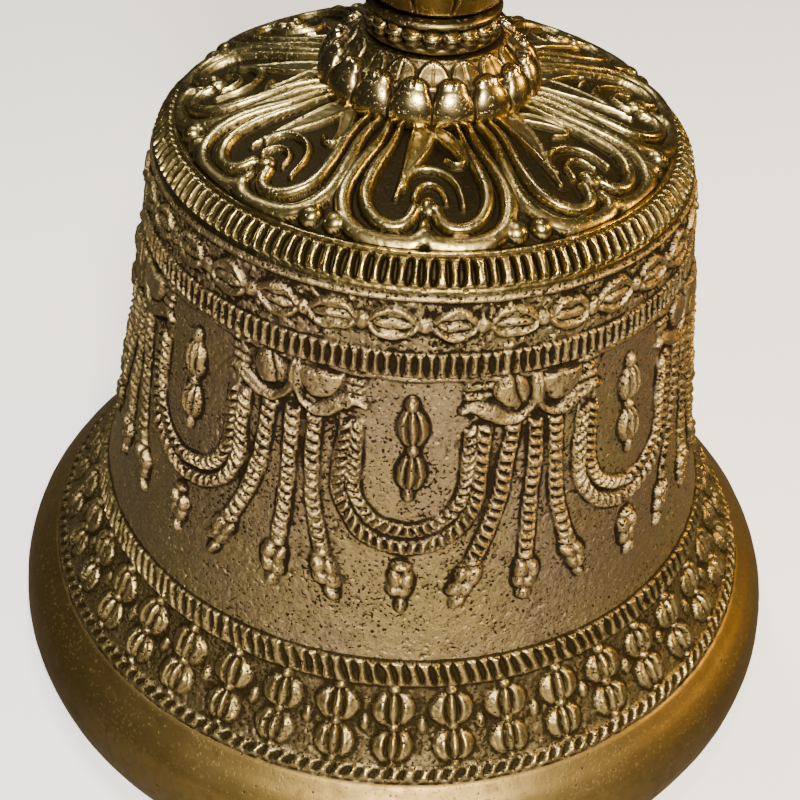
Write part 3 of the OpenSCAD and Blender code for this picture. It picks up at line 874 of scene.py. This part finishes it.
hub = {"cols": 400, "step": 0.17, "beads": 32, "petals": 16, "boreDepth": 5.1}
hubLow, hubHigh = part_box("vajra_hub")
hubBase, hubTop = hubLow.z / mm, hubHigh.z / mm
boreTop = hubBase + hub["boreDepth"]
upperRing = [(8.2, hubTop), (8.4, hubTop - 0.6), (8.3, hubBase + 4.2), (7.4, hubBase + 2.7)]
lowerRing = [(7.5, hubBase + 2.5), (8.6, hubBase + 2.1), (8.8, hubBase + 1.2), (8.4, hubBase + 0.2)]
hubLine = np.concatenate([
    [(0, hubTop)], spaced([(0.6, hubTop), (8.0, hubTop)], 0.5),
    spaced(curve(upperRing, 6), hub["step"]), spaced(curve(lowerRing, 6), hub["step"]),
    spaced([(8.1, hubBase), (2.7, hubBase)], 0.6),
    spaced([(boreRadius, hubBase + 0.2), (boreRadius, hubBase + 5.0)], 1.2),
    [(2.3, boreTop), (1.0, boreTop), (0, boreTop)]])


def hubShape(theta, rho, z, run, p):
    # beads round the low ring, petals round the upper one
    y = z - hubBase
    t = theta + 0.8 * lumps(p, 3.0, 151)
    beads = ringBeads(t, y - 1.3, hub["beads"], 8.8, 0.78) * (rho > 7.9)
    petals = petalRow(t, (y - 2.9) / 3.6, hub["petals"], 0, 2.4) * (rho > 7.2)
    return np.maximum(0.55 * beads, 0.34 * petals)


turnedPiece("vajra_hub_ring", hubLine, hub["cols"], hubShape, replaces="vajra_hub", poles=True)

core = {"cols": 130, "step": 0.24, "ringHeights": (2.9, 4.2, 27.6, 29.4, 31.4), "flutes": 2,
        "line": [(3.2, 0), (3.3, 1.0), (2.0, 3.0), (2.6, 9.0), (2.9, 14.0), (2.2, 22.0), (1.7, 28.5),
                 (1.7, 31.5), (3.0, 34.5), (2.6, 37.0), (1.0, 40.5), (0.30, 42.8)]}
coreLow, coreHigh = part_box("vajra_core")
coreBase = coreLow.z / mm
coreLine = np.concatenate([
    [(0, coreHigh.z / mm)], spaced(curve(core["line"], 8)[::-1] + [0, coreBase], core["step"]),
    spaced([(2.8, coreBase), (0.5, coreBase)], 0.5), [(0, coreBase)]])


def coreShape(theta, rho, z, run, p):
    # fluted shaft, rings at the knots, and eight leaves round the bud
    y = z - coreBase
    flute = 0.28 * np.abs(np.sin(np.radians(core["flutes"] * theta))) ** 0.6
    flute = flute * smooth(4, 8, y) * smooth(27, 20, y)
    rings = sum(0.30 * halfRound(y - c, 0.5) for c in core["ringHeights"])
    leaf = 0.30 * petalRow(theta, (y - 32.0) / 7.0, 8, 0, 2.2) * (y > 32)
    return np.where(rho > 0.6, np.maximum(flute + rings, leaf), 0)


turnedPiece("vajra_core_spike", coreLine, core["cols"], coreShape, replaces="vajra_core", poles=True)
print("handle turned pieces done")


# Prongs: a rounded section carried along a bowed path, thinner towards its tip.

prong = {
    "root": 1.9, "taper": 0.52, "cols": 44, "steps": 120,
    "path": curve([(6.1, 0), (6.35, 2.2), (8.3, 5.0), (10.9, 8.6), (11.6, 12.8), (9.9, 19.0),
                   (6.0, 25.5), (3.3, 31.5)], 10),
    "knuckles": (3.0, 4.5, 6.6, 24.0, 25.6),
    "ridge": 0.10, "scaleHeight": 0.16,
}


def prongPiece(index):
    # radius falls with the 2.2nd power of the way along; a ridge, knuckles and scales stand on the outside
    path, cols, steps = prong["path"], prong["cols"], prong["steps"]
    run = np.concatenate([[0], np.cumsum(np.hypot(*np.diff(path, axis=0).T))])
    s = np.linspace(0, run[-1], steps)
    px, pz = np.interp(s, run, path[:, 0]), np.interp(s, run, path[:, 1])
    dx, dz = np.gradient(px), np.gradient(pz)
    n = np.hypot(dx, dz)
    dx, dz = dx / n, dz / n
    dx[0], dz[0] = 0, 1
    dx, dz, s = dx[:, None], dz[:, None], s[:, None]
    part = s / run[-1]
    a = fullTurn(cols)[None, :] * math.pi / 180
    ridged = 1 - prong["ridge"] + prong["ridge"] * np.cos(a) ** 6
    r = prong["root"] * (1 - prong["taper"] * part ** 2.2) * ridged
    knuckle = sum(0.30 * np.exp(-((s - c) / 0.5) ** 2) for c in prong["knuckles"])
    scale = prong["scaleHeight"] * np.abs(np.sin(s * 1.15)) * np.maximum(0, np.cos(a)) ** 2
    h = knuckle + scale * smooth(0.2, 0.28, part) * smooth(0.75, 0.6, part)
    patina, polish, grime = wear(h, 0.3, 0.25, True)
    r = np.minimum(r + h, prong["root"] * 1.03 + 0.12)
    u, v = r * np.cos(a), r * np.sin(a)
    x, z = px[:, None] + u * dz, pz[:, None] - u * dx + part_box(f"vajra_prong_{index}")[0].z / mm
    turn = math.radians(45 + 90 * (index - 1))
    cosine, sine = math.cos(turn), math.sin(turn)
    points = np.stack([x * cosine - v * sine, x * sine + v * cosine, z], -1)
    quads = gridQuads(steps, cols, False, True)[:, ::-1]
    ring = np.arange(cols)
    ends = [ring[::-1], ring + (steps - 1) * cols]
    worn = {"patina": patina, "polish": polish, "grime": grime}
    piece = meshFrom(f"vajra_prong_{index}_horn", points.reshape(-1, 3), quads, ends, None, worn)
    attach(piece, "bell")
    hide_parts(f"vajra_prong_{index}")


for i in (1, 2, 3, 4):
    prongPiece(i)
print("prongs done")


def socketsOf(group, inputs, outputs):
    # name, kind and starting value of each way in, name and kind of each way out
    for name, kind, value in inputs:
        s = group.interface.new_socket(name=name, in_out="INPUT", socket_type=kind)
        if value is not None:
            s.default_value = value
    for name, kind in outputs:
        group.interface.new_socket(name=name, in_out="OUTPUT", socket_type=kind)


def mathNode(tree, operation, a, b=None, clamp=False):
    # a and b are sockets or plain numbers
    node = tree.nodes.new("ShaderNodeMath")
    node.operation = operation
    node.use_clamp = clamp
    for i, value in enumerate((a, b)):
        if value is None:
            continue
        if isinstance(value, (int, float)):
            node.inputs[i].default_value = value
        else:
            tree.links.new(value, node.inputs[i])
    return node.outputs[0]


def ramp(tree, source, low, high, outLow=0.0, outHigh=1.0):
    # S-shaped step from outLow at low to outHigh at high
    node = tree.nodes.new("ShaderNodeMapRange")
    node.interpolation_type = "SMOOTHSTEP"
    for i, value in enumerate((low, high, outLow, outHigh)):
        node.inputs[i + 1].default_value = value
    tree.links.new(source, node.inputs[0])
    return node.outputs[0]


def mixColor(tree, factor, a, b):
    # a where factor is 0, b where it is 1
    node = tree.nodes.new("ShaderNodeMix")
    node.data_type = "RGBA"
    for socket, value in ((node.inputs[0], factor), (node.inputs[6], a), (node.inputs[7], b)):
        if isinstance(value, (int, float)):
            socket.default_value = value
        elif isinstance(value, (tuple, list)):
            socket.default_value = (*value, 1)
        else:
            tree.links.new(value, socket)
    return node.outputs[2]


def noiseAt(tree, vector, scale, detail=3.0, rough=0.6):
    # noise with scale lumps to the metre
    node = tree.nodes.new("ShaderNodeTexNoise")
    node.inputs["Scale"].default_value = scale
    node.inputs["Detail"].default_value = detail
    node.inputs["Roughness"].default_value = rough
    tree.links.new(vector, node.inputs["Vector"])
    return node.outputs["Fac"]


def makeCastSkin():
    # sand-cast skin: fine grain, gas pits, black grit that gathers where grime lies, and slow changes of tone
    g = bpy.data.node_groups.new("castSkin", "ShaderNodeTree")
    socketsOf(g, [("Vector", "NodeSocketVector", None), ("Pit Amount", "NodeSocketFloat", 0.5),
                  ("Grain", "NodeSocketFloat", 0.5), ("Grit", "NodeSocketFloat", 0.5),
                  ("Grime", "NodeSocketFloat", 0.0)],
              [("Height", "NodeSocketFloat"), ("Pits", "NodeSocketFloat"), ("Tone", "NodeSocketFloat"),
               ("Mottle", "NodeSocketFloat")])
    i = g.nodes.new("NodeGroupInput")
    o = g.nodes.new("NodeGroupOutput")
    v = i.outputs["Vector"]
    fine = noiseAt(g, v, 3600, 3)
    coarse = noiseAt(g, v, 1500, 3)
    tone = noiseAt(g, v, 55, 3)
    mottle = noiseAt(g, v, 520, 4, 0.7)
    cells = g.nodes.new("ShaderNodeTexVoronoi")
    cells.inputs["Scale"].default_value = 1700
    g.links.new(v, cells.inputs["Vector"])
    # a pit is a small round hole in some of the cells, its size set by the cell's own random number
    split = g.nodes.new("ShaderNodeSeparateColor")
    g.links.new(cells.outputs["Color"], split.inputs[0])
    size = mathNode(g, "MULTIPLY", ramp(g, split.outputs[0], 0.52, 1.0, 0.0, 0.44), i.outputs["Pit Amount"])
    patch = ramp(g, noiseAt(g, v, 210, 2), 0.38, 0.60)
    hole = ramp(g, mathNode(g, "SUBTRACT", size, cells.outputs["Distance"]), 0.0, 0.10)
    pits = mathNode(g, "MULTIPLY", hole, patch)
    # grit: the low spots of a fine noise, more of them in grime and in patches
    nearWork = mathNode(g, "MULTIPLY", i.outputs["Grime"], 0.13)
    inPatches = mathNode(g, "MULTIPLY", ramp(g, noiseAt(g, v, 130, 3), 0.40, 0.62), 0.06)
    spots = mathNode(g, "SUBTRACT", noiseAt(g, v, 3000, 2, 0.5), nearWork)
    spots = mathNode(g, "SUBTRACT", spots, inPatches)
    grit = mathNode(g, "MULTIPLY", ramp(g, spots, 0.37, 0.29), i.outputs["Grit"])
    pits = mathNode(g, "MAXIMUM", pits, grit)
    grain = mathNode(g, "ADD", mathNode(g, "MULTIPLY", fine, 0.40), mathNode(g, "MULTIPLY", coarse, 0.60))
    grain = mathNode(g, "MULTIPLY", grain, i.outputs["Grain"])
    height = mathNode(g, "SUBTRACT", grain, mathNode(g, "MULTIPLY", pits, 0.8))
    for name, value in (("Height", height), ("Pits", pits), ("Tone", tone), ("Mottle", mottle)):
        g.links.new(value, o.inputs[name])
    return g


def makeAgedTone():
    # dark patina in the recesses, rubbed metal on the tops, body tone between
    g = bpy.data.node_groups.new("agedTone", "ShaderNodeTree")
    socketsOf(g, [("Deep", "NodeSocketColor", None), ("Body", "NodeSocketColor", None),
                  ("Body Warm", "NodeSocketColor", None), ("Rubbed", "NodeSocketColor", None),
                  ("Patina", "NodeSocketFloat", 0.0), ("Polish", "NodeSocketFloat", 0.0),
                  ("Pits", "NodeSocketFloat", 0.0), ("Tone", "NodeSocketFloat", 0.5),
                  ("Mottle", "NodeSocketFloat", 0.5), ("Stain", "NodeSocketFloat", 0.3)],
              [("Color", "NodeSocketColor"), ("Dark", "NodeSocketFloat"), ("Bright", "NodeSocketFloat")])
    i = g.nodes.new("NodeGroupInput")
    o = g.nodes.new("NodeGroupOutput")
    f = i.outputs
    body = mixColor(g, ramp(g, f["Tone"], 0.36, 0.64), f["Body"], f["Body Warm"])
    stain = ramp(g, f["Mottle"], 0.42, 0.70)
    body = mixColor(g, mathNode(g, "MULTIPLY", stain, f["Stain"]), body, f["Deep"])
    even = ramp(g, f["Mottle"], 0.66, 0.40, 0.55, 1.0)
    bright = mathNode(g, "MULTIPLY", f["Polish"], even, clamp=True)
    body = mixColor(g, bright, body, f["Rubbed"])
    uneven = mathNode(g, "MULTIPLY", mathNode(g, "SUBTRACT", f["Mottle"], 0.5), 0.5)
    loose = mathNode(g, "ADD", f["Patina"], uneven)
    dark = mathNode(g, "MAXIMUM", ramp(g, loose, 0.18, 0.80), f["Pits"])
    g.links.new(mixColor(g, dark, body, f["Deep"]), o.inputs["Color"])
    g.links.new(dark, o.inputs["Dark"])
    g.links.new(bright, o.inputs["Bright"])
    return g


castSkin, agedTone = makeCastSkin(), makeAgedTone()


def newMaterial(name):
    # material, its tree and its shader
    m = bpy.data.materials.new(name)
    m.use_nodes = True
    return m, m.node_tree, m.node_tree.nodes["Principled BSDF"]


def attributeOf(tree, name):
    # value that the mesh carries at each vertex
    node = tree.nodes.new("ShaderNodeAttribute")
    node.attribute_name = name
    return node.outputs["Fac"]


def agedMetal(name, finish, worn=True):
    # worn pieces carry patina, polish and grime in their mesh; the others get patina and polish from slow
    # noise, and no grime
    m, t, shader = newMaterial(name)
    coords = t.nodes.new("ShaderNodeTexCoord").outputs["Object"]
    skin = t.nodes.new("ShaderNodeGroup")
    skin.node_tree = castSkin
    t.links.new(coords, skin.inputs["Vector"])
    for key, value in (("Pit Amount", finish["pits"]), ("Grain", finish["grain"]), ("Grit", finish["grit"])):
        skin.inputs[key].default_value = value
    tone = t.nodes.new("ShaderNodeGroup")
    tone.node_tree = agedTone
    for key in ("Deep", "Body", "Body Warm", "Rubbed"):
        tone.inputs[key].default_value = (*finish[key], 1)
    tone.inputs["Stain"].default_value = finish["stain"]
    for key in ("Pits", "Tone", "Mottle"):
        t.links.new(skin.outputs[key], tone.inputs[key])
    if worn:
        t.links.new(attributeOf(t, "patina"), tone.inputs["Patina"])
        t.links.new(attributeOf(t, "polish"), tone.inputs["Polish"])
        t.links.new(attributeOf(t, "grime"), skin.inputs["Grime"])
    else:
        t.links.new(ramp(t, noiseAt(t, coords, 160, 3), 0.5, 0.75, 0.0, 0.7), tone.inputs["Patina"])
        t.links.new(ramp(t, noiseAt(t, coords, 90, 3), 0.45, 0.7, 0.0, 0.8), tone.inputs["Polish"])
    t.links.new(tone.outputs["Color"], shader.inputs["Base Color"])
    inDark = mathNode(t, "MULTIPLY", tone.outputs["Dark"], finish["roughDark"])
    whereRubbed = mathNode(t, "MULTIPLY", tone.outputs["Bright"], finish["roughRubbed"])
    blotch = mathNode(t, "MULTIPLY", mathNode(t, "SUBTRACT", skin.outputs["Mottle"], 0.5), 0.25)
    rough = mathNode(t, "SUBTRACT", mathNode(t, "ADD", finish["rough"], inDark), whereRubbed)
    rough = mathNode(t, "ADD", rough, blotch)
    t.links.new(rough, shader.inputs["Roughness"])
    metal = mathNode(t, "SUBTRACT", 1.0, mathNode(t, "MULTIPLY", tone.outputs["Dark"], finish["dull"]))
    t.links.new(metal, shader.inputs["Metallic"])
    shader.inputs["Specular IOR Level"].default_value = 0.3
    bump = t.nodes.new("ShaderNodeBump")
    bump.inputs["Strength"].default_value = finish["bump"]
    bump.inputs["Distance"].default_value = finish["bumpDepth"]
    t.links.new(skin.outputs["Height"], bump.inputs["Height"])
    t.links.new(bump.outputs["Normal"], shader.inputs["Normal"])
    return m


# the Body colours of these three are lit and shaded copies of one brass: painted shade darkens the dome's and
# the fence's, painted light brightens the waist's; their grain, pits, grit and roughness differ as cast
domeBrass = agedMetal("domeBrassPaintedShade", {
    "Deep": (0.016, 0.011, 0.003), "Body": (0.132, 0.106, 0.042), "Body Warm": (0.190, 0.134, 0.042),
    "Rubbed": (0.39, 0.300, 0.108), "pits": 0.7, "grain": 0.25, "grit": 0.40, "stain": 0.35,
    "rough": 0.34, "roughDark": 0.22, "roughRubbed": 0.08, "dull": 0.10, "bump": 0.6, "bumpDepth": 0.00010})
waistBrass = agedMetal("grittyWaistBrassPaintedLight", {
    "Deep": (0.019, 0.012, 0.005), "Body": (0.240, 0.172, 0.095), "Body Warm": (0.258, 0.194, 0.078),
    "Rubbed": (0.355, 0.258, 0.108), "pits": 0.8, "grain": 1.0, "grit": 1.0, "stain": 0.30,
    "rough": 0.50, "roughDark": 0.26, "roughRubbed": 0.12, "dull": 0.10, "bump": 1.0, "bumpDepth": 0.00026})
fenceBrass = agedMetal("fenceBrassPaintedShade", {
    "Deep": (0.024, 0.016, 0.005), "Body": (0.150, 0.112, 0.050), "Body Warm": (0.195, 0.140, 0.056),
    "Rubbed": (0.34, 0.255, 0.100), "pits": 0.9, "grain": 0.9, "grit": 1.0, "stain": 0.38,
    "rough": 0.45, "roughDark": 0.26, "roughRubbed": 0.10, "dull": 0.10, "bump": 0.8, "bumpDepth": 0.00014})
lipBrass = agedMetal("plainLipBrass", {
    "Deep": (0.026, 0.016, 0.005), "Body": (0.178, 0.118, 0.034), "Body Warm": (0.210, 0.138, 0.044),
    "Rubbed": (0.40, 0.28, 0.11), "pits": 0.7, "grain": 0.4, "grit": 0.25, "stain": 0.35,
    "rough": 0.46, "roughDark": 0.28, "roughRubbed": 0.10, "dull": 0.60, "bump": 0.5, "bumpDepth": 0.00008})
innerBrass = agedMetal("innerWallBrass", {
    "Deep": (0.025, 0.017, 0.009), "Body": (0.17, 0.122, 0.060), "Body Warm": (0.22, 0.155, 0.068),
    "Rubbed": (0.38, 0.27, 0.12), "pits": 1.0, "grain": 0.9, "grit": 0.7, "stain": 0.40,
    "rough": 0.52, "roughDark": 0.25, "roughRubbed": 0.10, "dull": 0.25, "bump": 0.9, "bumpDepth": 0.00016})
handleBrass = agedMetal("rubbedHandleBrass", {
    "Deep": (0.018, 0.011, 0.003), "Body": (0.195, 0.146, 0.058), "Body Warm": (0.250, 0.180, 0.064),
    "Rubbed": (0.50, 0.385, 0.160), "pits": 0.8, "grain": 0.4, "grit": 0.45, "stain": 0.34,
    "rough": 0.30, "roughDark": 0.28, "roughRubbed": 0.10, "dull": 0.12, "bump": 0.6, "bumpDepth": 0.00010})
washerBrass = agedMetal("turnedWasherBrass", {
    "Deep": (0.030, 0.020, 0.010), "Body": (0.24, 0.17, 0.08), "Body Warm": (0.30, 0.21, 0.09),
    "Rubbed": (0.50, 0.37, 0.17), "pits": 0.6, "grain": 0.4, "grit": 0.4, "stain": 0.35,
    "rough": 0.40, "roughDark": 0.25, "roughRubbed": 0.10, "dull": 0.2, "bump": 0.5,
    "bumpDepth": 0.00008}, worn=False)
forgedIron = agedMetal("forgedClapperIron", {
    "Deep": (0.055, 0.030, 0.018), "Body": (0.12, 0.115, 0.11), "Body Warm": (0.16, 0.13, 0.105),
    "Rubbed": (0.42, 0.41, 0.40), "pits": 1.0, "grain": 1.0, "grit": 0.5, "stain": 0.40,
    "rough": 0.50, "roughDark": 0.30, "roughRubbed": 0.15, "dull": 0.75, "bump": 0.9,
    "bumpDepth": 0.00018}, worn=False)
rodSteel = agedMetal("threadedRodSteel", {
    "Deep": (0.10, 0.085, 0.07), "Body": (0.45, 0.45, 0.44), "Body Warm": (0.42, 0.40, 0.37),
    "Rubbed": (0.65, 0.65, 0.64), "pits": 0.4, "grain": 0.4, "grit": 0.2, "stain": 0.30,
    "rough": 0.35, "roughDark": 0.30, "roughRubbed": 0.08, "dull": 0.4, "bump": 0.4,
    "bumpDepth": 0.00006}, worn=False)

finishOf = {"tang_rod": rodSteel, "crown_washer": washerBrass, "shell_lip": lipBrass,
            "shell_inner_wall": innerBrass, "shell_dome_petals": domeBrass,
            "shell_shoulder_ribs": domeBrass, "shell_vajra_fence": fenceBrass}
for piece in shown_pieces():
    if piece.name in finishOf:
        chosen = finishOf[piece.name]
    elif piece.get("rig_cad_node"):
        chosen = forgedIron
    else:
        chosen = waistBrass if piece.name.startswith("shell_") else handleBrass
    piece.data.materials.clear()
    piece.data.materials.append(chosen)
print("materials done")


def makeFloor():
    # flat floor that sweeps up into a backdrop: past the edge the height follows a quarter circle
    a = np.radians(np.linspace(5, 90, 16))
    y = np.concatenate([np.linspace(-0.9, 0.55, 30), 0.55 + 0.45 * np.sin(a)])
    z = np.concatenate([np.zeros(30), 0.45 * (1 - np.cos(a))])
    x = np.linspace(-1.4, 1.4, 8)
    points = np.stack(np.broadcast_arrays(x[None, :], y[:, None], z[:, None]), -1) / mm
    floor = meshFrom("studio_floor", points.reshape(-1, 3), gridQuads(len(y), len(x), False, False)[:, ::-1])
    m, t, shader = newMaterial("paleStudioPaperWithPaintedLightPool")
    coords = t.nodes.new("ShaderNodeTexCoord").outputs["Object"]
    paper = mixColor(t, noiseAt(t, coords, 6, 2), (0.86, 0.86, 0.85), (0.89, 0.89, 0.88))
    # in reflections and bounced light the paper carries a painted pool of light in front of the bell and
    # painted shade round it; the camera sees only the plain paper
    place = t.nodes.new("ShaderNodeMapping")
    place.inputs["Location"].default_value = (-0.01, 0.17, 0)
    t.links.new(coords, place.inputs["Vector"])
    away = t.nodes.new("ShaderNodeVectorMath")
    away.operation = "LENGTH"
    t.links.new(place.outputs[0], away.inputs[0])
    # bright colour of the painted pool of light, and the near black painted shade round it
    patch = mixColor(t, ramp(t, away.outputs["Value"], 0.05, 0.16), (0.90, 0.86, 0.78), (0.03, 0.03, 0.03))
    seen = t.nodes.new("ShaderNodeLightPath").outputs["Is Camera Ray"]
    t.links.new(mixColor(t, seen, patch, paper), shader.inputs["Base Color"])
    shader.inputs["Roughness"].default_value = 0.9
    floor.data.materials.append(m)
    floor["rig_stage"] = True


makeFloor()

# Each light is its place, its size, its power in watts and its colour. All of them aim at the bell.
lights = {
    "keyLight": ((0.06, -0.36, 0.42), (0.14, 0.14), 9.6, (1.0, 0.95, 0.87)),
    "warmSide": ((0.37, 0.06, 0.27), (0.06, 0.08), 1.7, (1.0, 0.60, 0.10)),
    "coolSide": ((-0.17, 0.20, 0.56), (0.06, 0.08), 1.5, (0.94, 0.97, 1.0)),
    "topFill": ((0.02, 0.20, 0.70), (0.10, 0.10), 2.2, (1.0, 0.96, 0.90)),
}
for name, (place, size, power, tint) in lights.items():
    lamp = bpy.data.lights.new(name, "AREA")
    lamp.shape = "RECTANGLE"
    lamp.size, lamp.size_y = size
    lamp.energy = power
    lamp.color = tint
    softBox = bpy.data.objects.new(name, lamp)
    softBox.location = place
    softBox.rotation_euler = (Vector((0, 0, 0.04)) - Vector(place)).to_track_quat("-Z", "Y").to_euler()
    bpy.context.scene.collection.objects.link(softBox)

world = bpy.data.worlds.new("studioAir")
world.use_nodes = True
air = world.node_tree
dim = air.nodes["Background"]
dim.inputs[0].default_value = (0.85, 0.87, 0.90, 1)
dim.inputs[1].default_value = 0.06
# past the edge of the paper the air looks as pale as the paper, and lights nothing
pale = air.nodes.new("ShaderNodeBackground")
pale.inputs[0].default_value = (0.80, 0.79, 0.77, 1)
chooser = air.nodes.new("ShaderNodeMixShader")
air.links.new(air.nodes.new("ShaderNodeLightPath").outputs["Is Camera Ray"], chooser.inputs[0])
air.links.new(dim.outputs[0], chooser.inputs[1])
air.links.new(pale.outputs[0], chooser.inputs[2])
air.links.new(chooser.outputs[0], air.nodes["World Output"].inputs[0])
bpy.context.scene.world = world

camera = {"elevation": 39.55, "distance": 0.1558, "aimZ": 0.0276, "roll": 3.98, "lens": 61.0,
          "shift": (-0.0084, -0.0030)}


def makeCamera():
    # looks down at the front of the bell, rolled a few degrees
    e, roll = math.radians(camera["elevation"]), math.radians(camera["roll"])
    back = Vector((0, -math.cos(e), math.sin(e)))
    right = Vector((1, 0, 0))
    up = right.cross(-back)
    turnedRight = math.cos(roll) * right + math.sin(roll) * up
    turnedUp = -math.sin(roll) * right + math.cos(roll) * up
    data = bpy.data.cameras.new("frontView")
    data.lens, data.sensor_width = camera["lens"], 36
    data.shift_x, data.shift_y = camera["shift"]
    data.clip_start, data.clip_end = 0.005, 10
    view = bpy.data.objects.new("frontView", data)
    turn = Matrix((turnedRight, turnedUp, back)).transposed().to_4x4()
    view.matrix_world = Matrix.Translation(Vector((0, 0, camera["aimZ"])) + back * camera["distance"]) @ turn
    bpy.context.scene.collection.objects.link(view)
    bpy.context.scene.camera = view


makeCamera()

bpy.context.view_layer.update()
shown = [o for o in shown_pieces() if not o.hide_render]
for o in shown:
    o.data.calc_loop_triangles()
counts = [len(o.data.loop_triangles) for o in shown]
print("triangles", sum(counts), "most", max(counts))
